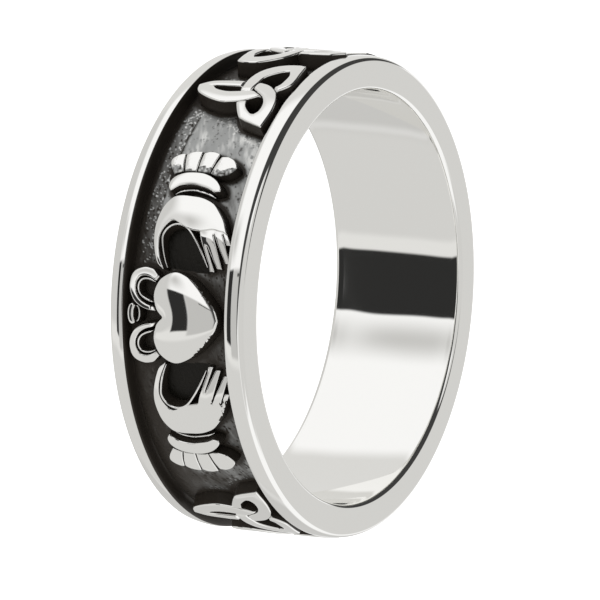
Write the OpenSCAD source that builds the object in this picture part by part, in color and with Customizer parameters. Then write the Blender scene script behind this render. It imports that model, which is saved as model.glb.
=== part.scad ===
// Claddagh ring, cast in one piece: a band with a rail along each edge, and a recessed channel between.
// A claddagh (a crowned heart held by two hands) stands in the channel at the front, and trinity knots
// fill the rest.
// The ring lies on one rail: its axis is Z, the origin is on the axis in the plane of the lower face,
// and the claddagh faces -Y with its crown towards the lower rail.

/* [Band] */
// Diameter of the finger hole
bore_d = 19.8; // [17:0.1:22.2]
// Width of the band
band_w = 7.1; // [6:0.1:9]
// Thickness of the metal under the channel
floor_t = 0.97; // [0.8:0.01:1.5]
// Height of the rails over the channel floor
rail_h = 0.65; // [0.45:0.01:0.8]
// Width of the rail that the ring lies on
lower_rail_w = 0.76; // [0.5:0.01:1.1]
// Width of the upper rail
upper_rail_w = 0.96; // [0.5:0.01:1.1]
// Rounding of the outer edges
rail_round = 0.2; // [0.05:0.01:0.25]
// Rounding of the finger hole's edges
bore_round = 0.4; // [0.1:0.01:0.5]
// Lean of the channel's walls, from floor to top
wall_lean = 0.08; // [0.02:0.01:0.15]

/* [Claddagh] */
// Length of a claddagh along the band, cuff to cuff
claddagh_l = 16.5; // [15:0.1:18]
// Gap between a claddagh and the rails
claddagh_gap = 0.26; // [0.15:0.01:0.6]
// How far the heart's crest stands over the rails
heart_proud = 0.28; // [0:0.01:0.4]
// How far the backs of the hands stand over the rails
hand_proud = 0.16; // [0:0.01:0.3]
// How far the crown stands over the rails
crown_proud = 0.02; // [-0.1:0.01:0.2]
// Offset of the crown along the band from the heart's axis
crown_shift = 0.13; // [-0.2:0.01:0.2]
// How far the cuffs stand over the rails
cuff_proud = 0.06; // [-0.1:0.01:0.2]
// Width of the groove between fingers and between puffs, and the fingers' drop below the back of the hand
groove_w = 0.09; // [0.05:0.01:0.15]

/* [Trinity knots] */
// Width of a knot's strand
strand_w = 0.64; // [0.4:0.01:0.7]
// Gap between a knot and the rails
knot_gap = 0.35; // [0.2:0.01:0.7]
// How far the knots stand over the rails
knot_proud = 0.2; // [-0.1:0.01:0.3]
// Offset towards the upper rail of the knots that point to the lower rail
knot_shift = 0.15; // [-0.2:0.01:0.2]
// Offset towards the upper rail of the knots that point to it
turned_shift = 0.5; // [-0.2:0.01:0.6]
// Gap between the claddagh and the next knot
end_gap = 1.2; // [0.8:0.01:2]
// Offset of the knots along the band from the heart's axis
knots_shift = 0.15; // [-0.3:0.01:0.3]
// Least distance from one knot's middle to the next
least_pitch = 4.7; // [4.4:0.1:8]
// Depth of the notch where a strand passes under another
under_cut = 0.22; // [0.1:0.01:0.4]

/* [Hidden] */
silver = [0.83, 0.83, 0.82];

bore_r = bore_d / 2;
floor_r = bore_r + floor_t;
rail_r = floor_r + rail_h;
channel_w = band_w - lower_rail_w - upper_rail_w;
channel_z = lower_rail_w + channel_w / 2;

// Relief is rooted inside the band, and is drawn past its top before the top is cut.
root_r = floor_r - floor_t / 2;
root_h = floor_t / 2 + rail_h + 1;

// Both motifs are drawn flat, X along the band and Y towards the lower rail, then laid on the band.
claddagh_h = channel_w - 2 * claddagh_gap;
half_l = claddagh_l / 2;
loop_r = 0.17 * claddagh_h;
loop_hole_r = 0.6 * loop_r;
loop_x = 0.172 * half_l;
loop_y = claddagh_h / 2 - loop_r;
bead = [0.1 * claddagh_h, 0.05 * claddagh_h];

// Balls whose surfaces dome the heart, the hands and the puffs, and where along the band the hands are
// squared up.
heart_ball_r = 0.95 * claddagh_h;
hand_ball_r = 1.3 * claddagh_h;
puff_ball_r = 0.25 * claddagh_h;
hand_crest = [0.6 * half_l, 0];
palm_x = 0.52 * half_l;
finger_x = 0.4 * half_l;
collar_x = 0.79 * half_l;

// Right half of the heart from the cleft round a lobe to the tip: x as a share of the claddagh's half
// length, y as a share of its height.
HEART = [
    [0, 0.119], [0.046, 0.185], [0.131, 0.216], [0.216, 0.152], [0.260, 0.006],
    [0.236, -0.140], [0.182, -0.267], [0.115, -0.380], [0.055, -0.457], [0, -0.490]
];

// Back of the hand from the tip of the thumb round the wrist to the little finger, in the same shares.
HAND_BACK = [
    [0.267, 0.103], [0.320, 0.204], [0.381, 0.259], [0.470, 0.286], [0.561, 0.274], [0.636, 0.222],
    [0.690, 0.128], [0.704, -0.012], [0.690, -0.167], [0.644, -0.321], [0.576, -0.434], [0.513, -0.473]
];

// Hollow of the hand from the first finger back to the tip of the thumb.
HAND_HOLLOW = [
    [0.505, -0.123], [0.525, 0], [0.531, 0.088], [0.501, 0.160], [0.456, 0.200],
    [0.395, 0.204], [0.335, 0.167], [0.282, 0.082]
];

// Tips of the four fingers, first finger first.
FINGER_TIPS = [[0.285, -0.315], [0.327, -0.400], [0.382, -0.452], [0.436, -0.485]];

// Leg of a crown loop, from the loop down to the cleft.
CROWN_LEG = [[0.062, 0.32], [0.098, 0.32], [0.098, 0.14], [0.062, 0.14]];

// Collar between hand and cuff: outer curve, then inner curve back.
COLLAR_OUTER = [
    [0.735, 0.236], [0.800, 0.205], [0.845, 0.064], [0.847, -0.039], [0.833, -0.167], [0.770, -0.312]
];
COLLAR_INNER = [[0.757, -0.222], [0.774, -0.115], [0.773, 0.012], [0.760, 0.115], [0.727, 0.215]];

// Edges between the puffs of a cuff: inner end, outer end.
PUFF_EDGES = [
    [[0.846, 0.226], [0.915, 0.325]],
    [[0.873, 0.128], [0.970, 0.185]],
    [[0.882, 0], [0.988, 0]],
    [[0.873, -0.123], [0.976, -0.195]],
    [[0.839, -0.278], [0.921, -0.401]]
];

// Arcs of a trinity knot: three equal rings, whose outer radius as a share of the knot's height settles
// how far their centres stand from the middle of the knot.
ARC_SHARE = 0.5645;
ARC_STEPS = 18;
knot_h = channel_w - 2 * knot_gap;
arc_r = ARC_SHARE * knot_h;
arc_c = knot_h * sqrt((2 * ARC_SHARE - 1) / 0.75);
tip_r = arc_c / 2 + knot_h - arc_r;
cross_r = sqrt(pow(arc_r - strand_w / 2, 2) - 0.75 * arc_c * arc_c) - arc_c / 2;
knot_w = 2 * (tip_r * cos(30));

// As many knots as fit on each side, spread evenly, with half a step from the last to the back of the ring.
first_x = half_l + end_gap + knot_w / 2;
half_span = PI * rail_r - first_x;
last_knot = floor(half_span / least_pitch - 0.5);
pitch = half_span / (last_knot + 0.5);

$fn = 96;

// Points of a smooth curve through the points p, with n steps from each point to the next.
function curve(p, n = 4) =
    let (last = len(p) - 1)
    concat(
        [for (i = [0 : last - 1], k = [0 : n - 1])
            between(p[max(i - 1, 0)], p[i], p[i + 1], p[min(i + 2, last)], k / n)],
        [p[last]]
    );

function between(a, b, c, d, t) =
    b + t * (c - a) / 2
    + t * t * (a - 2.5 * b + 2 * c - 0.5 * d)
    + t * t * t * (-a + 3 * b - 3 * c + d) / 2;

// Shares of the claddagh's half length and height turned into millimetres.
function sized(p) = [for (q = p) [q[0] * half_l, q[1] * claddagh_h]];
function shifted(p, v) = [for (q = p) q + v];
function mirrored(p) = [for (i = [len(p) - 1 : -1 : 0]) [-p[i][0], p[i][1]]];
function oval(r, n = 28) = [for (i = [0 : n - 1]) [r[0] * cos(i * 360 / n), r[1] * sin(i * 360 / n)]];
function round_edge(x, y, r, a) = [for (t = [a : 15 : a + 90]) [x + r * cos(t), y + r * sin(t)]];

// Lays its child on the band, x millimetres round from the front: X along the band, Y down, Z outwards.
module on_band(x) {
    rotate([0, 0, -x / rail_r * 180 / PI])
        translate([0, 0, channel_z])
            rotate([-90, 0, 180])
                children();
}

// Cuts the tops of its children to a round face of radius r about the ring's axis.
module trimmed(r) {
    intersection() {
        children();
        cylinder(r = r, h = band_w);
    }
}

// A prism over the outline, which is given round the arc position x.
module prism(outline, x) {
    on_band(x)
        translate([0, 0, root_r])
            linear_extrude(height = root_h)
                polygon(shifted(outline, [-x, 0]));
}

// A prism with a domed top, whose crest is at the point crest and stands proud of the rails.
module domed(outline, x, crest, dome_r, proud) {
    intersection() {
        prism(outline, x);
        on_band(x)
            translate([crest[0] - x, crest[1], rail_r + proud - dome_r])
                sphere(r = dome_r);
    }
}

module band() {
    color(silver)
        rotate_extrude($fn = 180)
            polygon(concat(
                round_edge(bore_r + bore_round, bore_round, bore_round, 180),
                round_edge(rail_r - rail_round, rail_round, rail_round, 270),
                [
                    [rail_r, lower_rail_w],
                    [floor_r, lower_rail_w + wall_lean],
                    [floor_r, band_w - upper_rail_w - wall_lean],
                    [rail_r, band_w - upper_rail_w]
                ],
                round_edge(rail_r - rail_round, band_w - rail_round, rail_round, 0),
                round_edge(bore_r + bore_round, band_w - bore_round, bore_round, 90)
            ));
}

module heart() {
    half = curve(sized(HEART));
    outline = concat(half, [for (q = mirrored(half)) if (q[0] < 0) q]);
    color(silver)
        domed(outline, 0, [0, -0.02 * claddagh_h], heart_ball_r, heart_proud);
}

// One loop of the crown, with the leg that runs down to the heart's cleft.
module crown_loop() {
    color(silver)
        trimmed(rail_r + crown_proud) {
            on_band(loop_x)
                translate([0, loop_y, root_r])
                    difference() {
                        cylinder(r = loop_r, h = root_h);
                        translate([0, 0, -1])
                            cylinder(r = loop_hole_r, h = root_h + 2);
                    }
            prism(sized(CROWN_LEG), loop_x);
        }
}

module crown_bead() {
    color(silver)
        trimmed(rail_r + crown_proud)
            prism(shifted(oval(bead), [0, claddagh_h / 2 - bead[1]]), 0);
}

module palm() {
    outline = concat(curve(sized(HAND_BACK)), curve(sized(HAND_HOLLOW)));
    color(silver)
        domed(outline, palm_x, hand_crest, hand_ball_r, hand_proud);
}

// One of four fingers, which run side by side from the palm to their tips under the heart.
module finger(i) {
    top = sized([HAND_HOLLOW[0]])[0];
    bottom = sized([HAND_BACK[len(HAND_BACK) - 1]])[0];
    tip = sized([FINGER_TIPS[i]])[0];
    base_a = top + (bottom - top) * i / 4;
    base_b = top + (bottom - top) * (i + 1) / 4 + [0, groove_w];
    overlap = [0.04 * half_l, 0];
    tip_side = [0, 0.016 * claddagh_h];
    outline = [
        base_b + overlap, base_a + overlap, base_a,
        tip + tip_side, tip - [tip_side[1], 0], tip - tip_side, base_b
    ];
    color(silver)
        domed(outline, finger_x, hand_crest, hand_ball_r, hand_proud - groove_w);
}

module collar() {
    outline = concat(curve(sized(COLLAR_OUTER)), curve(sized(COLLAR_INNER)));
    color(silver)
        trimmed(rail_r + cuff_proud)
            prism(outline, collar_x);
}

// One puff of the ruffled cuff, from edge i to the next.
module puff(i) {
    a = sized(PUFF_EDGES[i]);
    b = sized(PUFF_EDGES[i + 1]);
    gap = [0, groove_w / 2];
    bulge = [0.012 * half_l, 0];
    middle = (a[0] + a[1] + b[0] + b[1]) / 4;
    outline = [a[0] - gap, b[0] + gap, b[1] + gap, (a[1] + b[1]) / 2 + bulge, a[1] - gap];
    color(silver)
        domed(outline, middle[0], middle, puff_ball_r, cuff_proud);
}

// The crown sits a little to one side of the heart's axis, as it was carved.
module crown() {
    rotate([0, 0, -crown_shift / rail_r * 180 / PI]) {
        crown_bead();
        for (side = [0, 1])
            mirror([side, 0, 0])
                crown_loop();
    }
}

module claddagh() {
    heart();
    crown();
    for (side = [0, 1])
        mirror([side, 0, 0]) {
            palm();
            for (i = [0 : 3]) {
                finger(i);
                puff(i);
            }
            collar();
        }
}

// Outline of one of the three arcs of a knot, whose ring is centred in direction a: it runs round the
// middle of the knot from one tip to the next, and both tips are mitred.
function arc_side(r, a) =
    let (
        reach = arc_c / 2 + sqrt(r * r - 0.75 * arc_c * arc_c),
        turn = atan2(reach * sin(60), reach * cos(60) - arc_c)
    )
    [for (i = [0 : ARC_STEPS])
        let (b = a + turn + (360 - 2 * turn) * i / ARC_STEPS)
        [arc_c * cos(a) + r * cos(b), arc_c * sin(a) + r * sin(b)]];

function backwards(p) = [for (i = [len(p) - 1 : -1 : 0]) p[i]];

module strand(a, h = root_h) {
    linear_extrude(height = h)
        polygon(concat(arc_side(arc_r, a), backwards(arc_side(arc_r - strand_w, a))));
}

// Notches beside the crossing in direction a, where one strand dips under another.
module pass_under(a) {
    notch_r = 0.9 * strand_w;
    difference() {
        translate([cross_r * cos(a), cross_r * sin(a), 0])
            linear_extrude(height = root_h)
                polygon(oval([notch_r, notch_r], 16));
        translate([0, 0, -1])
            strand(a - 120, root_h + 2);
    }
}

// A trinity knot round the arc position x, with its apex towards the lower rail, or turned the other way.
module knot(x, turned) {
    color(silver)
        trimmed(rail_r + knot_proud)
            on_band(x)
                translate([0, turned ? -turned_shift : -knot_shift, 0])
                    rotate([0, 0, turned ? 180 : 0])
                        translate([0, knot_h / 2 - tip_r, root_r])
                            difference() {
                                for (a = [30, 150, 270])
                                    strand(a);
                                for (a = [30, 150, 270])
                                    translate([0, 0, rail_r + knot_proud - under_cut - root_r])
                                        pass_under(a);
                            }
}

// The knots on one side mirror those on the other.
module knots() {
    rotate([0, 0, -knots_shift / rail_r * 180 / PI])
        for (side = [0, 1], i = [0 : last_knot])
            mirror([side, 0, 0])
                knot(first_x + i * pitch, i % 2 == 1);
}

module ring() {
    band();
    claddagh();
    knots();
}

ring();
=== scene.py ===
"""A claddagh ring lying on one rail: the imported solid, dressed with finer relief, polish and patina."""
import math

import bpy
import numpy as np
from mathutils import Matrix, Vector
from mathutils.geometry import delaunay_2d_cdt
from mathutils.kdtree import KDTree


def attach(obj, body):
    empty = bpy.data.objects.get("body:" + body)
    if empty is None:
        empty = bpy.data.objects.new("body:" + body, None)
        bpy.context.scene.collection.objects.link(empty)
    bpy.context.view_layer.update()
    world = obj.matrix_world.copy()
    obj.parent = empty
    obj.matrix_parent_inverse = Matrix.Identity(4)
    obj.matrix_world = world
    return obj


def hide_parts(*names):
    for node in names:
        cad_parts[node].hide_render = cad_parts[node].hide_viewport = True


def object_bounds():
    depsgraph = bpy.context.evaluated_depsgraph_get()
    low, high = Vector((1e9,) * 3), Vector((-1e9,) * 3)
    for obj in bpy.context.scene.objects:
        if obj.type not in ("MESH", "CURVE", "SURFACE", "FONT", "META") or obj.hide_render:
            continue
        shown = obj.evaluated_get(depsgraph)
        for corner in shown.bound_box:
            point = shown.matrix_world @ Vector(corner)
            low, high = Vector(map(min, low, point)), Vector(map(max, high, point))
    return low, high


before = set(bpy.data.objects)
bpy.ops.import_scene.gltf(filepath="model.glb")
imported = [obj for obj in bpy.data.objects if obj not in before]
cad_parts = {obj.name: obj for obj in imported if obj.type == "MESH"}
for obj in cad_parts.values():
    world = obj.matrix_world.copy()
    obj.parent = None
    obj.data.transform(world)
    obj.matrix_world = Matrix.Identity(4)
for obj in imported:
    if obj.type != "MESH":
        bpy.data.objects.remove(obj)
cad_low, cad_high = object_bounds()

# All sizes are millimetres unless a name says otherwise.
MM = 0.001

# The band.
BORE_R = 9.9
BAND_W = (cad_high.z - cad_low.z) / MM
FLOOR_R = 10.87
RAIL_R = 11.52
LOWER_RAIL_W = 0.76
UPPER_RAIL_W = 0.96
BORE_ROUND = 0.24
BUFFED_DEPTH = 0.08
WALL_LEAN = 0.08
CHANNEL_W = BAND_W - LOWER_RAIL_W - UPPER_RAIL_W
CHANNEL_Z = LOWER_RAIL_W + CHANNEL_W / 2
BAND_COLUMNS = 780
BORE_STEPS = 25

# The walls of the channel: height over the floor, distance from the rail. The patina reaches a little way
# onto the lower rail's top.
CHANNEL_WALL = [[0.5, 0.02], [0.25, 0.05], [-0.1, WALL_LEAN]]
DARK_RIM = 0.05

# How deep under the floor the relief's walls end, and up to which height over that its points are its foot.
ROOT_DEPTH = 0.15
ROOT_R = FLOOR_R - ROOT_DEPTH
FOOT_H = 0.2

# The channel's floor, which reaches under its walls and has closer columns at the front.
FLOOR_REACH = 0.03
FLOOR_T = 0.08
FLOOR_ROWS = 84
FRONT_HALF_ANGLE = 86
FRONT_COLUMNS = 690
BACK_COLUMNS = 240

# The way its brush strokes run over the sheet, and where a crease follows the lower rail.
BRUSH_WAY = (0.94, 0.34)
CREASE_Y = 1.62

# How far down a relief's walls their rows are, as shares of the height, and how far within its edge the
# first rows of its top are.
RELIEF_WALL = (0.04, 0.25, 0.6, 1.0)
EDGE_ROWS = (0.012, 0.03, 0.06, 0.1, 0.16)

# The claddagh is drawn on a flat sheet: x along the band, y towards the lower rail. Its tables give x as a
# share of its half length and y as a share of its height.
CLADDAGH_HALF_L = 8.25
CLADDAGH_MARGIN = 0.26
CLADDAGH_H = CHANNEL_W - 2 * CLADDAGH_MARGIN
CROWN_LEAN = 0.12
CROWN_SINK = 0.22

HEART_HALF = [
    [0, 0.119], [0.046, 0.185], [0.131, 0.216], [0.216, 0.152], [0.260, 0.006], [0.236, -0.140],
    [0.182, -0.267], [0.115, -0.380], [0.055, -0.457], [0, -0.490],
]
PALM_BACK = [
    [0.272, 0.145], [0.304, 0.218], [0.345, 0.252], [0.392, 0.277], [0.434, 0.293], [0.477, 0.302],
    [0.526, 0.302], [0.575, 0.289], [0.630, 0.262], [0.674, 0.212], [0.700, 0.156], [0.708, 0.070],
    [0.706, -0.030], [0.702, -0.120], [0.690, -0.200], [0.665, -0.290], [0.625, -0.360], [0.575, -0.425],
    [0.525, -0.462], [0.487, -0.492],
]
KNUCKLES = [
    [0.508, -0.440], [0.512, -0.390], [0.517, -0.324], [0.508, -0.250], [0.503, -0.190], [0.505, -0.120],
]
PALM_INNER = [
    [0.515, -0.050], [0.535, 0.020], [0.553, 0.086], [0.554, 0.129], [0.539, 0.166], [0.515, 0.200],
    [0.488, 0.225], [0.458, 0.238], [0.421, 0.235], [0.385, 0.224], [0.342, 0.200], [0.300, 0.165],
]
HAND_HOLLOW = [
    [0.285, 0.125], [0.332, 0.160], [0.380, 0.184], [0.425, 0.197], [0.466, 0.199], [0.496, 0.172],
    [0.520, 0.125], [0.530, 0.058], [0.520, -0.018], [0.494, -0.080], [0.460, -0.130], [0.420, -0.178],
    [0.358, -0.238], [0.310, -0.278], [0.266, -0.314],
]
FINGER_TIPS = [[0.438, -0.506], [0.332, -0.508], [0.298, -0.425], [0.279, -0.348]]
FINGER_BASE = [[0.535, -0.180], [0.535, -0.455]]
FINGER_NOTCHES = [[0.501, -0.431], [0.494, -0.338], [0.427, -0.277]]
FIRST_FINGER = [[0.315, -0.312], [0.404, -0.250], [0.457, -0.212], [0.498, -0.190]]
COLLAR_OUTER = [
    [0.730, 0.228], [0.753, 0.258], [0.781, 0.260], [0.810, 0.237], [0.832, 0.190], [0.849, 0.114],
    [0.854, 0.025], [0.853, -0.059], [0.842, -0.138], [0.822, -0.212], [0.795, -0.273], [0.766, -0.312],
    [0.745, -0.312],
]
COLLAR_INNER = [
    [0.738, -0.250], [0.757, -0.180], [0.768, -0.105], [0.777, -0.020], [0.775, 0.065], [0.764, 0.145],
    [0.743, 0.197],
]
PUFFS = [
    [
        [[0.842, 0.255], [0.874, 0.297], [0.908, 0.325], [0.935, 0.322], [0.958, 0.284], [0.971, 0.240],
         [0.974, 0.196]],
        [[0.920, 0.182], [0.882, 0.168], [0.862, 0.158]],
    ],
    [
        [[0.862, 0.146], [0.924, 0.170], [0.970, 0.184]],
        [[0.987, 0.137], [0.995, 0.080], [0.995, 0.020]],
        [[0.933, 0.018], [0.865, 0.021]],
    ],
    [
        [[0.865, 0.006], [0.932, 0.005], [0.986, 0.003]],
        [[0.998, -0.050], [0.998, -0.110], [0.987, -0.176]],
        [[0.924, -0.155], [0.860, -0.124]],
    ],
    [
        [[0.858, -0.139], [0.917, -0.172], [0.969, -0.203]],
        [[0.971, -0.276], [0.953, -0.345], [0.924, -0.392], [0.902, -0.405], [0.883, -0.380],
         [0.858, -0.330]],
        [[0.845, -0.250], [0.847, -0.190]],
    ],
]
CROWN_OUTER = [
    [0.224, 0.182], [0.263, 0.248], [0.275, 0.302], [0.278, 0.366], [0.263, 0.443], [0.236, 0.486],
    [0.197, 0.501], [0.155, 0.497], [0.115, 0.470], [0.080, 0.425], [0.055, 0.357], [0.042, 0.292],
    [0.034, 0.199],
]
CROWN_INNER = [
    [0.058, 0.218], [0.062, 0.260], [0.075, 0.322], [0.098, 0.379], [0.127, 0.416], [0.154, 0.434],
    [0.185, 0.434], [0.207, 0.419], [0.225, 0.388], [0.230, 0.334], [0.222, 0.276], [0.202, 0.212],
]
CROWN_RIDGE = [
    [0.196, 0.225], [0.210, 0.286], [0.213, 0.341], [0.206, 0.382], [0.186, 0.407], [0.161, 0.411],
    [0.136, 0.397], [0.113, 0.362], [0.096, 0.308], [0.085, 0.247], [0.081, 0.215],
]
BEAD_OUTER = [
    [0.057, 0.428], [0.068, 0.462], [0.052, 0.494], [0.010, 0.508], [-0.033, 0.494], [-0.051, 0.462],
    [-0.042, 0.428],
]
BEAD_INNER = [[-0.008, 0.444], [0.028, 0.444]]
BEAD_LINE = [[0.056, 0.425], [0.045, 0.396], [0.010, 0.385], [-0.024, 0.396], [-0.038, 0.425]]

# How far the patina is rubbed off the channel's floor: millimetres along the band, share.
RUBBED = [
    [-36, 0.6], [-18, 0.5], [-14, 0.1], [-11, 0.15], [-9.6, 0.25], [-8.8, 0.5], [-7, 0.4], [-4, 0.35],
    [-2, 0.15], [1.5, 0.15], [2.5, 0.5], [5, 0.65], [7, 0.9], [8, 1.0], [9.5, 1.1], [11.5, 1.0], [13, 0.5],
    [16, 0.2], [20, 0.5], [36, 0.6],
]

# The rails' tops, from the channel outwards: millimetres across, outward tilt in degrees.
DOME_START = [0, -75]
LOWER_DOME = [[0.02, -38], [0.06, -20], [0.16, -9], [0.22, -4], [0.3, 3], [0.37, 6.5], [0.62, 10]]
UPPER_DOME = [
    [0.03, -40], [0.08, -18], [0.15, -8], [0.22, -4], [0.4, 3], [0.52, 7], [0.64, 10], [0.7, 15],
    [0.78, 22],
]

# The knots, drawn with the apex down the sheet. Each arc of the strand has an outer and an inner side, and
# lies over the arc that follows it.
KNOT_ARCS = [
    [
        [[-2.52, -2.43], [-1.70, -2.53], [-1.13, -2.50], [-0.55, -2.35], [0.02, -2.00], [0.43, -1.52],
         [0.64, -0.90], [0.71, 0], [0.67, 0.90], [0.54, 1.67], [0.19, 2.20]],
        [[-1.70, -1.70], [-1.51, -1.85], [-1.20, -1.88], [-0.86, -1.80], [-0.45, -1.55], [-0.16, -1.20],
         [0.15, -0.75], [0.26, -0.20], [0.27, 0.40], [0.24, 1.10], [0.21, 1.43]],
    ],
    [
        [[0.19, 2.20], [-0.16, 2.10], [-0.43, 1.85], [-0.76, 1.20], [-0.96, 0.50], [-0.92, -0.10],
         [-0.74, -0.80], [-0.48, -1.30], [-0.08, -1.90], [0.24, -2.33], [0.60, -2.56], [1.05, -2.58],
         [1.61, -2.50], [2.52, -2.35]],
        [[0.21, 1.43], [-0.04, 1.13], [-0.16, 0.73], [-0.19, 0.33], [-0.14, -0.10], [-0.04, -0.70],
         [-0.03, -1.10], [0.10, -1.50], [0.34, -1.83], [0.60, -2.00], [1.10, -2.05], [1.48, -2.01],
         [1.90, -1.80]],
    ],
    [
        [[2.52, -2.35], [2.62, -1.93], [2.56, -1.33], [2.30, -0.80], [1.86, -0.40], [1.36, -0.20],
         [0.86, -0.13], [0.34, -0.15], [-0.30, -0.20], [-1.00, -0.43], [-1.87, -0.93], [-2.11, -1.27],
         [-2.33, -1.85], [-2.52, -2.43]],
        [[1.90, -1.80], [1.80, -1.47], [1.48, -1.07], [1.10, -0.83], [0.66, -0.77], [0.20, -0.71],
         [-0.54, -0.80], [-1.00, -0.95], [-1.31, -1.10], [-1.67, -1.47], [-1.70, -1.70]],
    ],
]
KNOT_ACROSS = [0, 0.02, 0.05, 0.1, 0.2, 0.35, 0.5, 0.65, 0.8, 0.9, 0.95, 0.98, 1]
KNOT_WALL = [0.03, 0.25, 0.6, 1]
KNOT_MIDDLE = [-0.01, -0.83]
KNOT_CROSSINGS_R = 1.3
KNOT_PROUD = 0.19
TURNED_SHIFT = 0.78
FIRST_X = 12.06
KNOTS_SHIFT = 0.15
LEFT_LOWER = 0.11
SIDE_KNOTS = 5
PITCH = (math.pi * RAIL_R - FIRST_X) / (SIDE_KNOTS - 0.5)

# The camera, at the photograph's angle to the ring.
CAM_AZIMUTH = -8.3
CAM_ELEVATION = 29.424
CAM_ROLL = 4.56
CAM_DISTANCE = 271.5
CAM_LENS = 340.37
CAM_SHIFT = (0.00288, -0.01286)

# What the polish mirrors besides white: azimuth from and to in degrees, counted from the camera towards the
# knots at the picture's top, elevation from and to, how fast its top rises with the azimuth, softness,
# brightness.
SURROUNDINGS = [
    [-200, 200, -100, -37, 0, 4, 0.64],
    [-108, -33, -100, 10, 0, 4, 0.68],
    [-165, -108, -60, 0, 0, 9, 0.6],
    [98, 160, -60, 5, 0, 6, 0.74],
    [-200, 200, 55, 95, 0, 6, 0.66],
    [-60, 30, 14, 60, 0, 5, 0.66],
    [150, 200, 15, 60, 0, 4, 0.68],
    [-200, -150, 15, 60, 0, 4, 0.68],
    [-36, -24, -60, 10, 0, 3, 0.8],
    [-32, 8, -23, 5, 0, 1.5, 0.55],
    [-30, 160, 1, 15, 0.5, 2.5, 0.05],
    [14, 30, -37, -23, 0, 8, 0.6],
    [4.7, 6.3, -11, 8, 0, 0.4, 0.1],
    [-27, 8, -39.5, -23, 0, 1, 0.028],
]

# Colours.
WHITE = (1, 1, 1, 1)
POLISHED_SILVER = (0.93, 0.925, 0.905, 1)
BRUSHED_SILVER = (0.38, 0.385, 0.38, 1)
# Painted glints: a light colour for bright specks that stand in for sparkle.
PAINTED_GLINTS = (0.75, 0.75, 0.73, 1)
PATINA = (0.032, 0.027, 0.022, 1)
DEEP_PATINA = (0.01, 0.009, 0.007, 1)

GRIT_HEIGHT_M = 0.00002

rng = np.random.default_rng(7)


def aim_camera():
    """Rolls the camera until the ring's axis points right in the picture, as in the photo."""
    a, e, roll = (math.radians(v) for v in (CAM_AZIMUTH, CAM_ELEVATION, CAM_ROLL))
    back = Vector((math.sin(a) * math.cos(e), -math.cos(a) * math.cos(e), math.sin(e)))
    axis = Vector((0, 0, 1))
    right = (axis - axis.dot(back) * back).normalized()
    up = back.cross(right)
    turned_right = math.cos(roll) * right + math.sin(roll) * up
    turned_up = math.cos(roll) * up - math.sin(roll) * right
    camera = bpy.data.objects.new("camera", bpy.data.cameras.new("camera"))
    bpy.context.scene.collection.objects.link(camera)
    turn = Matrix((turned_right, turned_up, back)).transposed().to_4x4()
    centre = Vector((0, 0, BAND_W / 2 * MM))
    camera.matrix_world = Matrix.Translation(centre + back * CAM_DISTANCE * MM) @ turn
    camera.data.lens = CAM_LENS
    camera.data.sensor_width = 36
    camera.data.shift_x, camera.data.shift_y = CAM_SHIFT
    camera.data.clip_start = 0.01
    camera.data.clip_end = 10
    bpy.context.scene.camera = camera


def place(x, y, r):
    """Points in metres of sheet points at radius r from the ring's axis."""
    a = np.asarray(x) / RAIL_R
    return np.stack([-r * np.sin(a), -r * np.cos(a), CHANNEL_Z - y + 0 * a], -1) * MM


def along_sheet(angles, r):
    """How far along a sheet at radius r the angles round the ring are."""
    return -r * ((angles + math.pi) % (2 * math.pi) - math.pi)


def smooth_step(lo, hi, v):
    t = np.clip((v - lo) / (hi - lo), 0, 1)
    return t * t * (3 - 2 * t)


def plateau(v, start, full, fading, end):
    """1 from full to fading, and down to 0 at start and at end."""
    return smooth_step(start, full, v) * smooth_step(end, fading, v)


def noise(u, v):
    """Smooth random values from -1 to 1 over a plane, about one rise or fall to a unit."""
    size = 97
    table = rng.uniform(-1, 1, (size, size))
    i, j = np.floor(u).astype(int), np.floor(v).astype(int)
    fu, fv = u - i, v - j
    fu, fv = fu * fu * (3 - 2 * fu), fv * fv * (3 - 2 * fv)
    i, i1, j, j1 = i % size, (i + 1) % size, j % size, (j + 1) % size
    low = table[i, j] * (1 - fu) + table[i1, j] * fu
    high = table[i, j1] * (1 - fu) + table[i1, j1] * fu
    return low * (1 - fv) + high * fv


def curve(points, steps=12):
    """Points of a smooth curve through the given ones."""
    p = np.array(points, float)
    before = np.concatenate([p[:1], p[:-2]])
    here, after = p[:-1], p[1:]
    later = np.concatenate([p[2:], p[-1:]])
    t = (np.arange(steps) / steps)[None, :, None]
    a, b, c, d = (q[:, None] for q in (before, here, after, later))
    bend = a - 2.5 * b + 2 * c - 0.5 * d
    twist = -a + 3 * b - 3 * c + d
    out = b + t * (c - a) / 2 + t ** 2 * bend + t ** 3 * twist / 2
    return np.concatenate([out.reshape(-1, 2), p[-1:]])


def walked(path, n):
    """n points in equal steps along the open path, its last point left off."""
    step = np.linalg.norm(np.diff(path, axis=0), axis=1)
    along = np.concatenate([[0], np.cumsum(step)])
    s = np.linspace(0, along[-1], n + 1)[:-1]
    return np.stack([np.interp(s, along, path[:, k]) for k in (0, 1)], 1)


def even(path, spacing):
    """The open path walked in equal steps of about the given spacing, its last point left off."""
    length = np.linalg.norm(np.diff(path, axis=0), axis=1).sum()
    return walked(path, max(1, round(length / spacing)))


def outline(segments, spacing=0.05, same_point=1e-6):
    """A closed counter-clockwise outline of smooth segments that meet in corners."""
    out = []
    for k, part in enumerate(segments):
        path = np.array(part, float)
        path = curve(path) if len(path) > 2 else path
        follow = np.array(segments[(k + 1) % len(segments)][0], float)
        out.append(even(path, spacing))
        if np.linalg.norm(path[-1] - follow) > same_point:
            out.append(even(np.array([path[-1], follow]), spacing))
    out = np.concatenate(out)
    return out if area(out) > 0 else out[::-1]


def area(loop):
    x, y = loop[:, 0], loop[:, 1]
    return 0.5 * np.sum(x * np.roll(y, -1) - y * np.roll(x, -1))


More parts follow.
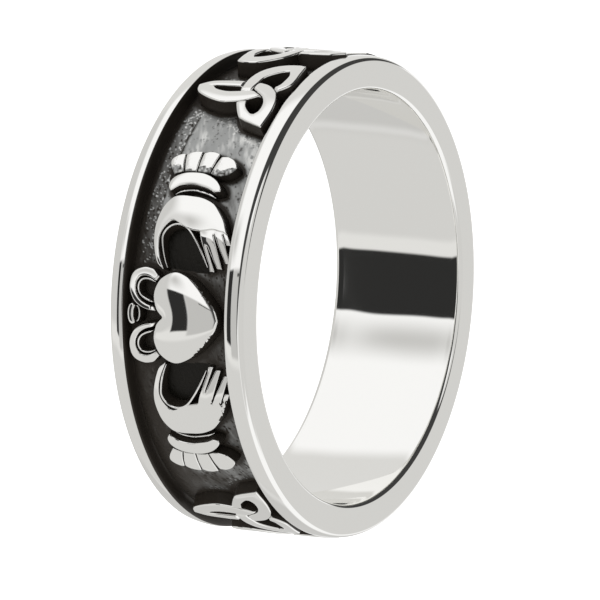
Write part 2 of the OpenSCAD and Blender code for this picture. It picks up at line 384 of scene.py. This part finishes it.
def outward(loop):
    """Unit normals of a counter-clockwise loop, away from the metal within it."""
    along = np.roll(loop, -1, 0) - np.roll(loop, 1, 0)
    along /= np.linalg.norm(along, axis=1, keepdims=True)
    return np.stack([along[:, 1], -along[:, 0]], 1)


def outward_of_path(path):
    """Unit normals to the left of an open path."""
    along = np.gradient(path, axis=0)
    along /= np.linalg.norm(along, axis=1, keepdims=True)
    return np.stack([-along[:, 1], along[:, 0]], 1)


def batches(points, size=1500):
    """The points in groups small enough to be held against a whole loop at once."""
    return np.array_split(points, len(points) // size + 1)


def distance(points, loop):
    """Distance of each point to the nearest edge of the loop."""
    best = []
    a, ab = loop, np.roll(loop, -1, 0) - loop
    for part in batches(points):
        p = part[:, None] - a
        t = np.clip(np.sum(p * ab, 2) / np.sum(ab * ab, 1), 0, 1)
        best.append(np.linalg.norm(p - t[..., None] * ab, axis=2).min(1))
    return np.concatenate(best)


def inside(points, loop):
    """Whether each point is within the loop."""
    within = []
    a, b = loop, np.roll(loop, -1, 0)
    rise = np.where(b[:, 1] == a[:, 1], 1, b[:, 1] - a[:, 1])
    for part in batches(points):
        x, y = part[:, :1], part[:, 1:]
        crosses = (a[:, 1] > y) != (b[:, 1] > y)
        at = a[:, 0] + (y - a[:, 1]) * (b[:, 0] - a[:, 0]) / rise
        within.append(np.sum(crosses & (x < at), 1) % 2 == 1)
    return np.concatenate(within)


def triangulate(points, n):
    """Triangles that use all the points, within the counter-clockwise loop that the first n make."""
    out = delaunay_2d_cdt([Vector(p) for p in points], [], [list(range(n))], 0, 1e-7, True)
    source = np.array([ids[0] for ids in out[3]])
    return source[np.array([tri for tri, loops in zip(out[2], out[5]) if loops])]


def inflate(points, tri, fixed, tries=600, close_enough=1e-16):
    """Solves the membrane that is pushed up evenly and held at the fixed points, by conjugate gradients."""
    n = len(points)
    i, j, w = [], [], []
    mass = np.zeros(n)
    for k in range(3):
        a, b, c = tri[:, k], tri[:, (k + 1) % 3], tri[:, (k + 2) % 3]
        u, v = points[a] - points[c], points[b] - points[c]
        cross = np.abs(u[:, 0] * v[:, 1] - u[:, 1] * v[:, 0])
        i.append(a)
        j.append(b)
        w.append(0.5 * np.sum(u * v, 1) / np.maximum(cross, 1e-12))
        np.add.at(mass, c, cross / 6)
    i, j, w = np.concatenate(i), np.concatenate(j), np.concatenate(w)

    def apply(f):
        flow = w * (f[i] - f[j])
        return np.bincount(i, flow, n) - np.bincount(j, flow, n)

    free = ~fixed
    f = np.zeros(n)
    rest = np.where(free, 4 * mass, 0)
    way = rest.copy()
    power = rest @ rest
    for _ in range(tries):
        push = np.where(free, apply(way), 0)
        step = power / (way @ push)
        f += step * way
        rest -= step * push
        fresh = rest @ rest
        if fresh < close_enough:
            break
        way = rest + fresh / power * way
        power = fresh
    return np.maximum(f, 0)


def clean(x, y):
    """No patina and no wear on the top of a form."""
    return 0 * x, 0 * x


def level(height):
    """A form's top at one height over the rails."""
    return lambda x, y: height + 0 * x


def edge_drop(away, rim):
    """How much lower a rounded edge of radius rim is, at each distance from its outline."""
    return rim * (1 - np.sqrt(1 - (1 - np.clip(away / rim, 0, 1)) ** 2))


def relief(edge, top, puff=0.0, power=0.5, rim=0.05, spacing=0.1, draft=0.12, stain=clean):
    """A closed mesh over a flat counter-clockwise loop. top(x, y) is the shoulder's height over the rails,
    puff how many times its half width the form swells, and stain(x, y) the patina on its top and its wear,
    which over 1 paints glints."""
    n = len(edge)
    normal = outward(edge)
    flat = np.concatenate([edge] + rings(edge, normal) + [grid_within(edge, spacing)])
    tri = triangulate(flat, n)
    fixed = np.arange(len(flat)) < n
    away = np.where(fixed, 0, distance(flat, edge))
    r = RAIL_R + top(flat[:, 0], flat[:, 1]) - edge_drop(away, rim)
    if puff:
        swell = inflate(flat, tri, fixed)
        r = r + puff * swell.max() ** (0.5 - power) * swell ** power
    points = [np.column_stack([flat, r])]
    # The second field is wear, and over 1 painted glints.
    stained, rubbed_off = stain(flat[:, 0], flat[:, 1])
    patina, wear_and_glints = [stained], [rubbed_off]
    faces = tri.tolist()
    shoulder = r[:n]
    above, count = np.arange(n), len(flat)
    for share in RELIEF_WALL:
        deep = share * (shoulder - ROOT_R)
        points.append(np.column_stack([edge + draft * deep[:, None] * normal, shoulder - deep]))
        patina.append(np.ones(n))
        wear_and_glints.append(np.zeros(n))
        below = count + np.arange(n)
        faces += np.stack([above, below, np.roll(below, -1), np.roll(above, -1)], 1).tolist()
        above, count = below, count + n
    faces += (count - n + triangulate(edge, n)[:, ::-1]).tolist()
    return np.concatenate(points), faces, np.concatenate(patina), np.concatenate(wear_and_glints)


def rings(edge, normal):
    """Rows of points just within the edge, where the form is rounded."""
    rows = []
    for d in EDGE_ROWS:
        row = edge - d * normal
        rows.append(row[(distance(row, edge) > 0.94 * d) & inside(row, edge)])
    return rows


def grid_within(edge, spacing):
    """Points of a triangular grid further within the edge than its rows."""
    low, high = edge.min(0), edge.max(0)
    x = np.arange(low[0], high[0], spacing)
    y = np.arange(low[1], high[1], spacing * math.sqrt(3) / 2)
    x, y = np.meshgrid(x, y)
    x[::2] += spacing / 2
    grid = np.stack([x.ravel(), y.ravel()], 1)
    grid = grid[inside(grid, edge)]
    return grid[distance(grid, edge) > EDGE_ROWS[-1] + 0.6 * spacing]


def strip(path, top, width, **kwargs):
    """A narrow raised line along an open path, tapered at both ends."""
    line = even(curve(path), 0.05)
    line = np.concatenate([line, [path[-1]]])
    side = outward_of_path(line)
    s = np.linspace(0, 1, len(line))
    half = width / 2 * (0.35 + 0.65 * np.minimum(1, 8 * np.minimum(s, 1 - s)))[:, None]
    loop = np.concatenate([line - side * half, (line + side * half)[::-1]])
    if area(loop) < 0:
        loop = loop[::-1]
    return relief(loop, top, **kwargs)


def mirrored(part):
    points, faces, patina, wear_and_glints = part
    return points * [-1, 1, 1], [f[::-1] for f in faces], patina, wear_and_glints


def moved(part, x, y=0.0, r=0.0):
    return (part[0] + [x, y, r],) + part[1:]


def joined(parts):
    """Parts as one list of sheet points, faces and fields."""
    points, faces, patina, wear_and_glints, start = [], [], [], [], 0
    for p, f, d, w in parts:
        points.append(p)
        faces += [[k + start for k in face] for face in f]
        patina.append(d)
        wear_and_glints.append(w)
        start += len(p)
    return np.concatenate(points), faces, np.concatenate(patina), np.concatenate(wear_and_glints)


def add_mesh(name, points, faces, patina, wear_and_glints, material):
    """A smooth-shaded object of points in metres, with the fields that its material reads."""
    mesh = bpy.data.meshes.new(name)
    mesh.from_pydata(points.tolist(), [], faces)
    mesh.shade_smooth()
    for field, values in (("patina", patina), ("wear_and_glints", wear_and_glints)):
        attribute = mesh.attributes.new(field, "FLOAT", "POINT")
        attribute.data.foreach_set("value", np.asarray(values, np.float32))
    mesh.materials.append(material)
    obj = bpy.data.objects.new(name, mesh)
    bpy.context.scene.collection.objects.link(obj)
    return obj


def fitted(obj):
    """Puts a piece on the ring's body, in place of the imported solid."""
    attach(obj, "root")
    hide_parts("ring")


def dressed(name, parts, material):
    """A piece of parts drawn on the sheet, wrapped round the ring."""
    p, faces, patina, wear_and_glints = joined(parts)
    fitted(add_mesh(name, place(p[:, 0], p[:, 1], p[:, 2]), faces, patina, wear_and_glints, material))


def sized(points):
    """Shares of the claddagh's half length and height in millimetres."""
    return np.array(points, float) * [CLADDAGH_HALF_L, CLADDAGH_H]


def heart_outline():
    half = sized(HEART_HALF)
    return outline([half, (half * [-1, 1])[::-1]])


def ragged(loop, where):
    """Patina that bites into a form's edge as far as where(x, y) lets it."""
    def stain(x, y):
        gap = distance(np.stack([x, y], 1), loop)
        bite = (0.05 + 0.08 * noise(x / 0.06, y / 0.06)) * where(x, y)
        return smooth_step(0, 0.015, bite - gap), 0 * x
    return stain


def heart():
    """The heart, with ragged patina on its flanks."""
    loop = heart_outline()
    stain = ragged(loop, lambda x, y: plateau(y, -0.9, -1.2, -1.9, -2.2))

    def top(x, y):
        """A little higher towards the crown."""
        return -0.02 + 0.016 * y

    return relief(loop, top, puff=0.14, power=0.75, rim=0.04, spacing=0.09, stain=stain)


def crown():
    """Two open loops that end under the heart, each a band with a fine inner ridge, and a slit bead."""
    under = heart_outline()

    def leaning(height):
        """A top that falls away from the middle, and towards the heart, whose edge stands over it."""
        def top(x, y):
            points = np.stack([x, y], 1)
            gap = np.where(inside(points, under), 0, distance(points, under))
            return height - CROWN_LEAN * (x - 1) - CROWN_SINK * (1 - smooth_step(0, 0.3, gap))
        return top

    band_loop = outline([sized(CROWN_OUTER), sized(CROWN_INNER)])
    bead_loop = outline([sized(BEAD_OUTER), sized(BEAD_INNER)])
    ridge, slit = sized(CROWN_RIDGE), sized(BEAD_LINE)
    loop = [
        relief(band_loop, leaning(-0.04), puff=0.05, power=1, rim=0.03, spacing=0.07),
        strip(ridge, leaning(-0.12), width=0.09, puff=0.2, rim=0.02, spacing=0.04),
    ]
    return loop + [mirrored(part) for part in loop] + [
        relief(bead_loop, level(-0.05), puff=0.15, rim=0.03, spacing=0.06),
        strip(slit, level(-0.14), width=0.08, puff=0.4, rim=0.02, spacing=0.04),
    ]


def fingers():
    """The edge of the four fingers from the little one to the first: blunt tips with narrow notches."""
    blunt, narrow = [0, 0.026 * CLADDAGH_H], [0, 0.004 * CLADDAGH_H]
    tips, notches = sized(FINGER_TIPS), sized(FINGER_NOTCHES)
    edge = []
    for k, tip in enumerate(tips):
        edge.append([tip - blunt, tip + blunt])
        if k < len(notches):
            edge.append([notches[k] - narrow, notches[k] + narrow])
    return edge + [sized(FIRST_FINGER)]


def hand(stepped):
    """The palm with its thumb, a fine rim round the hollow, and four fingers, stepped or running on."""
    step = 0.07 if stepped else 0

    def height(x, y):
        return -0.03 - 0.01 * (x - 4.5) ** 2 - 0.03 * y ** 2

    def finger_height(x, y):
        """Lower towards the finger tips."""
        return height(x, y) - 0.22 * (1 - smooth_step(0.27, 0.52, x / CLADDAGH_HALF_L)) - step

    def palm_edge(x, y):
        return plateau(x, 3.8, 4, 4.9, 5.1) * smooth_step(-1.4, -1.6, y)

    back, inner = sized(PALM_BACK), sized(PALM_INNER)
    if stepped:
        palm = outline([back, sized(KNUCKLES), inner])
        four = outline(fingers() + [sized(FINGER_BASE)])
        parts = [
            relief(palm, height, puff=0.05, power=1, rim=0.04, spacing=0.09),
            relief(four, finger_height, puff=0.06, power=1, rim=0.03, spacing=0.07),
        ]
    else:
        whole = outline([back] + fingers() + [inner])
        stain = ragged(whole, palm_edge)
        parts = [relief(whole, finger_height, puff=0.05, power=1, rim=0.03, spacing=0.08, stain=stain)]
    rim = even(curve(sized(HAND_HOLLOW)), 0.3)
    rim = rim + 0.06 * outward_of_path(rim)

    def rim_height(x, y):
        return finger_height(x, y) - 0.02

    return parts + [strip(rim, rim_height, width=0.1, puff=0.4, rim=0.02, spacing=0.05)]


def cuff(stained):
    """A collar, a low ridge between it and the hand, and four puffs with scalloped outer edges."""
    stain = puff_stain if stained else clean
    collar = outline([sized(COLLAR_OUTER), sized(COLLAR_INNER)])
    ridge = sized(COLLAR_INNER) - [0.17, 0]
    parts = [
        relief(collar, level(-0.06), puff=0.12, rim=0.03, spacing=0.08),
        strip(ridge, level(-0.34), width=0.12, puff=0.3, rim=0.02, spacing=0.06),
    ]
    for edges in PUFFS:
        shape = outline([sized(e) for e in edges])
        parts.append(relief(shape, puff_height, puff=0.08, rim=0.03, spacing=0.06, stain=stain))
    return parts


def puff_height(x, y):
    """The puffs fall away a little towards the collar."""
    return -0.08 - 0.06 * (1 - smooth_step(0.85, 0.93, x / CLADDAGH_HALF_L))


def puff_stain(x, y):
    """Patina left where the puffs spring from the collar, speckled with rubbed silver and painted glints.
    """
    share = x / CLADDAGH_HALF_L + 0.012 * noise(x / 0.1, y / 0.1) + 0.01 * np.sin(4 * y)
    # Wear over 1 here is painted glints.
    return 1 - smooth_step(0.88, 0.895, share), 0.8 + 0.9 * noise(x / 0.09, y / 0.09)


def claddagh(material):
    """Heart and crown, with a hand and its cuff on each side. Returns all its points."""
    parts = [heart()] + crown() + hand(True) + cuff(True)
    parts += [mirrored(part) for part in hand(False) + cuff(False)]
    dressed("claddagh", parts, material)
    return [part[0] for part in parts]


def knot():
    """A trinity knot round the sheet's origin, apex down: one strand that dips under itself three times."""
    steps, rim, bow, dip, draft = 120, 0.05, 0.03, 0.12, 0.12
    arcs = [[walked(curve(side), steps) for side in arc] for arc in KNOT_ARCS]
    lines = [(0, share) for share in KNOT_WALL[::-1]]
    lines += [(u, 0) for u in KNOT_ACROSS]
    lines += [(1, share) for share in KNOT_WALL]
    grids, patina_and_crossing_shade = [], []
    for k, (outer, inner) in enumerate(arcs):
        cover = np.concatenate([arcs[k - 1][0], arcs[k - 1][1][::-1]])
        width = np.linalg.norm(outer - inner, axis=1)
        out = (outer - inner) / width[:, None]
        grid, stained = [], []
        for u, share in lines:
            flat = inner + u * (outer - inner)
            gap = np.where(inside(flat, cover), 0, distance(flat, cover))
            gap = np.where(np.hypot(*(flat - KNOT_MIDDLE).T) < KNOT_CROSSINGS_R, gap, 1)
            drop = edge_drop(min(u, 1 - u) * width, rim) + bow * (2 * u - 1) ** 2
            top = RAIL_R + KNOT_PROUD - drop - dip * (1 - smooth_step(0, 0.15, gap))
            deep = share * (top - ROOT_R)
            flat = flat + (2 * u - 1) * draft * deep[:, None] * out if share else flat
            grid.append(np.column_stack([flat, top - deep]))
            # Walls get patina. On the top, patina and painted shadow make a thin dark line where the strand
            # runs under the one over it.
            stained.append(np.ones(steps) if share else 1 - smooth_step(0.02, 0.07, gap))
        grids.append(grid)
        patina_and_crossing_shade.append(stained)
    points = np.concatenate(grids, axis=1)
    patina = np.concatenate(patina_and_crossing_shade, axis=1)
    faces = hoop_faces(len(lines), 3 * steps)
    return points.reshape(-1, 3), faces.tolist(), patina.reshape(-1), 0 * patina.reshape(-1)


def knots(material):
    """Knots from the claddagh's sides to the back, every second one turned. Returns all their points."""
    plain = knot()
    turned = moved((plain[0] * [-1, -1, 1],) + plain[1:], 0, -TURNED_SHIFT)
    feet = []
    for side in ("right", "left"):
        for k in range(SIDE_KNOTS):
            part = moved(turned if k % 2 else plain, FIRST_X + k * PITCH)
            if side == "left":
                part = moved(mirrored(part), 0, 0, -LEFT_LOWER)
            part = moved(part, KNOTS_SHIFT)
            dressed(f"knot_{side}_{k + 1}", [part], material)
            feet.append(part[0])
    return feet


def hoop_faces(rows, columns):
    """Quads between rows of points that close both ways round."""
    i, j = np.meshgrid(np.arange(rows), np.arange(columns), indexing="ij")
    i1, j1 = (i + 1) % rows, (j + 1) % columns
    corners = [i * columns + j, i * columns + j1, i1 * columns + j1, i1 * columns + j]
    return np.stack(corners, -1).reshape(-1, 4)


def turned_mesh(name, r, z, angles, patina, wear_and_glints, material):
    """A closed hoop of profile rows r and z, each with one column to every angle."""
    points = np.stack([r * np.sin(angles), -r * np.cos(angles), z + 0 * r], -1).reshape(-1, 3) * MM
    faces = hoop_faces(*r.shape)
    fitted(add_mesh(name, points, faces.tolist(), patina.reshape(-1), wear_and_glints.reshape(-1), material))


def rounded(r, z, radius, start, end, n=10):
    """Points of an arc in the ring's profile."""
    a = np.radians(np.linspace(start, end, n))
    return np.stack([r + radius * np.cos(a), z + radius * np.sin(a)], 1)


def dome(table, steps=26):
    """Points over a rail's top from the channel outwards: radius and distance across."""
    across = np.linspace(0, table[-1][0], steps)
    tilt = np.radians(np.interp(across, *np.array([DOME_START] + table, float).T))
    rise = -np.tan(tilt)
    height = np.concatenate([[0], np.cumsum((rise[1:] + rise[:-1]) / 2 * np.diff(across))])
    height += RAIL_R - height.max()
    return np.stack([height, across], 1)


def rail_edge(end, tilt, width):
    """Points of the arc that turns from a dome's end, at its tilt, into the flat face."""
    radius = (width - end[1]) / (1 - math.sin(math.radians(tilt)))
    middle = end[0] - radius * math.cos(math.radians(tilt))
    return rounded(middle, width - radius, radius, tilt, 90)[1:]


def rail(table, width, start, way):
    """A rail's dome and its outer edge, from the channel at start outwards, which is up or down by way."""
    top = dome(table)
    edge = rail_edge(top[-1], table[-1][1], width)
    return [np.stack([part[:, 0], start + way * part[:, 1]], 1) for part in (top, edge)]


def band(material):
    """The hoop, turned from one profile. Its finger hole is hollowed a little by the buffing."""
    lower, upper = LOWER_RAIL_W, BAND_W - UPPER_RAIL_W
    low_top, low_edge = rail(LOWER_DOME, LOWER_RAIL_W, lower, -1)
    high_top, high_edge = rail(UPPER_DOME, UPPER_RAIL_W, upper, 1)
    low_wall = np.array(CHANNEL_WALL) + [FLOOR_R, lower]
    high_wall = np.array(CHANNEL_WALL) * [1, -1] + [FLOOR_R, upper]
    bore_z = np.linspace(BAND_W - BORE_ROUND, BORE_ROUND, BORE_STEPS + 1)[1:-1]
    parts = [
        (rounded(BORE_R + BORE_ROUND, BORE_ROUND, BORE_ROUND, 180, 270), 0),
        (low_edge[::-1], 0),
        (low_top[::-1], low_top[::-1, 1] > lower - DARK_RIM),
        (low_wall, 1),
        (high_wall[::-1], 1),
        (high_top, 0),
        (high_edge, 0),
        (rounded(BORE_R + BORE_ROUND, BAND_W - BORE_ROUND, BORE_ROUND, 90, 180), 0),
        (np.stack([np.full_like(bore_z, BORE_R), bore_z], 1), 0),
    ]
    profile = np.concatenate([p for p, _ in parts])
    patina = np.concatenate([np.zeros(len(p)) + dark for p, dark in parts])
    angles = np.linspace(0, 2 * math.pi, BAND_COLUMNS, endpoint=False)
    r = profile[:, :1] + 0 * angles
    z = profile[:, 1:]
    in_bore = profile[:, 0] == BORE_R
    r[in_bore] += buffed(angles, z[in_bore])
    turned_mesh("band", r, z, angles, patina[:, None] + 0 * r, 0 * r, material)


def buffed(angles, z):
    """Depth to which the finger hole is buffed: most halfway through, in long shallow waves."""
    half = BAND_W / 2 - BORE_ROUND
    share = np.clip(np.abs(z - BAND_W / 2) / half, 0, 1)
    x = along_sheet(angles, BORE_R)
    from_seam = smooth_step(0, 3, math.pi * BORE_R - np.abs(x))
    waves = 0.02 * noise(x / 4 + 0 * z, z / 2.5 + 0 * x) * from_seam
    return BUFFED_DEPTH * (1 - share ** 2) + waves * smooth_step(0, 0.3, 1 - share)


def channel(material, feet):
    """The channel's floor, brushed and pitted. feet are points of the sheet where the relief stands."""
    front = math.radians(FRONT_HALF_ANGLE)
    angles = np.concatenate([
        np.linspace(-front, front, FRONT_COLUMNS, endpoint=False),
        np.linspace(front, 2 * math.pi - front, BACK_COLUMNS, endpoint=False),
    ])
    low = LOWER_RAIL_W + WALL_LEAN - FLOOR_REACH
    high = BAND_W - UPPER_RAIL_W - WALL_LEAN + FLOOR_REACH
    z = np.linspace(low, high, FLOOR_ROWS)
    x, y = np.meshgrid(along_sheet(angles, RAIL_R), CHANNEL_Z - z)
    depth, wear_and_glints = wear(x, y, feet)
    under = 0 * x[:1] + FLOOR_R - FLOOR_T
    r = np.concatenate([under, FLOOR_R - depth, under])
    z = np.concatenate([z[:1], z, z[-1:]])[:, None]
    wear_and_glints = np.concatenate([wear_and_glints[:1], wear_and_glints, wear_and_glints[-1:]])
    turned_mesh("channel_floor", r, z, angles, 1 + 0 * wear_and_glints, wear_and_glints, material)


def gap_to(feet, x, y):
    """Distance of each point of the sheet to the nearest foot."""
    tree = KDTree(len(feet))
    for k, foot in enumerate(feet):
        tree.insert((foot[0], foot[1], 0), k)
    tree.balance()
    return np.array([tree.find((a, b, 0))[2] for a, b in zip(x.ravel(), y.ravel())]).reshape(x.shape)


def wear(x, y, feet):
    """Depth of the strokes, pits and grit in the floor, and how far its patina is rubbed off: least round
    the relief, along the lower rail and in the hands' hollows. Past 1 the field paints glints: bright
    specks beyond the crease and round the knots."""
    u, v = BRUSH_WAY[0] * x + BRUSH_WAY[1] * y, BRUSH_WAY[0] * y - BRUSH_WAY[1] * x
    strokes = noise(u / 0.7, v / 0.12) + 0.6 * noise(u / 0.3, v / 0.06)
    strokes = strokes * (1 - 0.5 * plateau(x, 5, 8, 10, 13))
    blotches = noise(x / 0.8, y / 0.45)
    pits = smooth_step(0.55, 0.8, noise(u / 0.16, v / 0.07))
    grit_dents_and_painted_glints = smooth_step(0.4, 0.7, noise(x / 0.09, y / 0.06))
    gap = gap_to(feet, x, y)
    share = np.interp(x, *np.array(RUBBED).T)
    share = share * smooth_step(0.05, 0.35, gap + 0.05 * blotches)
    share = share * (1 - 0.6 * smooth_step(-3, -5, x) * smooth_step(0.7, 1.3, y))
    crease = CREASE_Y + 0.05 * noise(x / 0.5, 0 * x)
    past = smooth_step(0, 0.05, y - crease)
    near_crease = 1 - smooth_step(0.02, 0.07, np.abs(y - crease))
    seam = near_crease * smooth_step(6, 7, x) * smooth_step(11, 10.4, x)
    share = share * (1 - 0.6 * past) * (1 - smooth_step(2.25, 2.45, y))
    lit = smooth_step(0.05, 0.2, share)
    # Round the knots' feet and beyond the crease the floor gets painted glints, bright specks that stand in
    # for sparkle, and small grit dents.
    round_knots = plateau(gap, 0.1, 0.2, 0.35, 0.55) * smooth_step(9, 9.5, np.abs(x))
    rough = np.maximum(past * smooth_step(1, 3, x), round_knots)
    rubbed_off = share * (1 + 0.3 * strokes + (0.2 + 0.4 * smooth_step(-3, -6, x)) * blotches)
    wear_and_glints = rubbed_off - 0.6 * pits * lit - seam + 1.1 * grit_dents_and_painted_glints * rough * lit
    depth = 0.006 * strokes + 0.015 * pits + 0.03 * seam - 0.01 * grit_dents_and_painted_glints * rough
    wear_and_glints[within_hollows(x, y)] = -1
    return depth, np.clip(wear_and_glints, -1, 1.5)


def within_hollows(x, y):
    """Whether each point of the sheet is in the hollow of a hand."""
    near = (np.abs(x) > 2) & (np.abs(x) < 5)
    within = np.zeros(x.shape, bool)
    within[near] = inside(np.stack([np.abs(x[near]), y[near]], 1), outline([sized(HAND_HOLLOW)]))
    return within


class Nodes:
    """Short names for the few shader nodes that the looks are made of."""

    def __init__(self, tree):
        self.tree = tree

    def feed(self, socket, value):
        """Links another node's output to a socket, or sets the socket to a value."""
        if isinstance(value, bpy.types.NodeSocket):
            self.tree.links.new(value, socket)
        else:
            socket.default_value = value

    def add(self, kind, settings=(), **inputs):
        """A node. Its inputs go by name, or by number as i0 for the first."""
        node = self.tree.nodes.new(kind)
        for key, value in dict(settings).items():
            setattr(node, key, value)
        for key, value in inputs.items():
            numbered = key[0] == "i" and key[1:].isdigit()
            self.feed(node.inputs[int(key[1:])] if numbered else node.inputs[key], value)
        return node

    def math(self, operation, a, b=0.0, c=0.0):
        return self.add("ShaderNodeMath", {"operation": operation}, i0=a, i1=b, i2=c).outputs[0]

    def step(self, value, lo, hi):
        node = self.add("ShaderNodeMapRange", {"interpolation_type": "SMOOTHSTEP"}, i0=value, i1=lo, i2=hi)
        return node.outputs[0]

    def dot(self, a, b):
        return self.add("ShaderNodeVectorMath", {"operation": "DOT_PRODUCT"}, i0=a, i1=b).outputs["Value"]

    def mix(self, share, a, b):
        """Mixes two colours."""
        node = self.add("ShaderNodeMix", {"data_type": "RGBA"}, i0=share, i6=a, i7=b)
        return node.outputs[2]


def silver_material():
    """Polished silver with a dark patina where the patina field says, rubbed through in patches, and
    painted glints where the wear field runs over 1.
    """
    material = bpy.data.materials.new("silver")
    material.use_nodes = True
    n = Nodes(material.node_tree)
    material.node_tree.nodes.clear()
    field = n.add("ShaderNodeAttribute", {"attribute_name": "patina"}).outputs["Fac"]
    wear_and_glints = n.add("ShaderNodeAttribute", {"attribute_name": "wear_and_glints"}).outputs["Fac"]
    where = n.add("ShaderNodeTexCoord").outputs["Object"]
    stretched = n.add("ShaderNodeMapping", Vector=where, Scale=(900, 900, 2600)).outputs[0]
    streaks = n.add("ShaderNodeTexNoise", Vector=stretched, Scale=1.0, Detail=4.0, Roughness=0.6).outputs[0]
    grit = n.add("ShaderNodeTexNoise", Vector=where, Scale=5000.0, Detail=3.0, Roughness=0.6).outputs[0]
    dark = n.step(field, 0.25, 0.75)
    blend = n.math("ADD", wear_and_glints, n.math("MULTIPLY", n.math("SUBTRACT", streaks, 0.5), 0.3))
    bare = n.step(n.math("MULTIPLY", blend, n.step(wear_and_glints, 0.0, 0.1)), 0.0, 1.0)
    black = n.mix(n.step(wear_and_glints, -1.0, 0.0), DEEP_PATINA, PATINA)
    patina_wear_and_glint_colour = n.mix(bare, black, BRUSHED_SILVER)
    # Painted glints: where the wear field runs over 1 the colour turns light, standing in for sparkle.
    patina_wear_and_glint_colour = n.mix(n.step(wear_and_glints, 1.0, 1.4), patina_wear_and_glint_colour, PAINTED_GLINTS)
    colour = n.mix(dark, POLISHED_SILVER, patina_wear_and_glint_colour)
    rough = n.math("ADD", n.math("MULTIPLY", dark, 0.3), 0.04)
    metal = n.math("SUBTRACT", 1.0, n.math("MULTIPLY", n.math("SUBTRACT", dark, bare), 0.8))
    strength = n.math("MULTIPLY", bare, 0.5)
    bump = n.add("ShaderNodeBump", Strength=strength, Distance=GRIT_HEIGHT_M, Height=grit).outputs[0]
    shader = n.add("ShaderNodeBsdfPrincipled", Metallic=metal, Roughness=rough, Normal=bump)
    shader.inputs["Specular IOR Level"].default_value = 0.15
    material.node_tree.links.new(colour, shader.inputs["Base Color"])
    out = n.add("ShaderNodeOutputMaterial")
    material.node_tree.links.new(shader.outputs[0], out.inputs[0])
    return material


def studio():
    """Soft white surroundings with a few darker parts for the polish to mirror. The camera sees white."""
    world = bpy.data.worlds.new("studio")
    bpy.context.scene.world = world
    world.use_nodes = True
    n = Nodes(world.node_tree)
    world.node_tree.nodes.clear()
    direction = n.add("ShaderNodeTexCoord").outputs["Generated"]
    a = math.radians(CAM_AZIMUTH)
    towards = n.dot(direction, (math.sin(a), -math.cos(a), 0))
    aside = n.dot(direction, (-math.cos(a), -math.sin(a), 0))
    azimuth = n.math("MULTIPLY", n.math("ARCTAN2", aside, towards), 180 / math.pi)
    height = n.add("ShaderNodeSeparateXYZ", Vector=direction).outputs[2]
    elevation = n.math("MULTIPLY", n.math("ARCSINE", height), 180 / math.pi)
    colour = WHITE
    for az_from, az_to, el_from, el_to, slope, soft, tone in SURROUNDINGS:
        share = 1.0
        sloping = n.math("SUBTRACT", elevation, n.math("MULTIPLY", azimuth, slope)) if slope else elevation
        for value, low in ((azimuth, az_from), (elevation, el_from)):
            share = n.math("MULTIPLY", share, n.step(value, low - soft, low + soft))
        for value, high in ((azimuth, az_to), (sloping, el_to)):
            share = n.math("MULTIPLY", share, n.step(value, high + soft, high - soft))
        colour = n.mix(share, colour, (tone, tone * 0.995, tone * 0.975, 1))
    seen = n.add("ShaderNodeLightPath").outputs["Is Camera Ray"]
    background = n.add("ShaderNodeBackground", Color=n.mix(seen, colour, WHITE), Strength=1.0)
    out = n.add("ShaderNodeOutputWorld")
    world.node_tree.links.new(background.outputs[0], out.inputs[0])
    bpy.context.scene.view_settings.view_transform = "Standard"


def pale_floor(half=0.6):
    """The floor the ring lies on, half its side in metres. It glows to be as white as the studio."""
    mesh = bpy.data.meshes.new("floor")
    corners = [(-half, -half, 0), (half, -half, 0), (half, half, 0), (-half, half, 0)]
    mesh.from_pydata(corners, [], [(0, 1, 2, 3)])
    floor = bpy.data.objects.new("floor", mesh)
    bpy.context.scene.collection.objects.link(floor)
    material = bpy.data.materials.new("floor")
    material.use_nodes = True
    shader = material.node_tree.nodes["Principled BSDF"]
    shader.inputs["Base Color"].default_value = (0.85, 0.85, 0.85, 1)
    shader.inputs["Roughness"].default_value = 0.9
    shader.inputs["Emission Color"].default_value = WHITE
    shader.inputs["Emission Strength"].default_value = 0.95
    mesh.materials.append(material)
    floor.visible_glossy = False


aim_camera()
studio()
pale_floor()
silver = silver_material()
feet = np.concatenate(claddagh(silver) + knots(silver))
band(silver)
channel(silver, feet[feet[:, 2] < ROOT_R + FOOT_H])
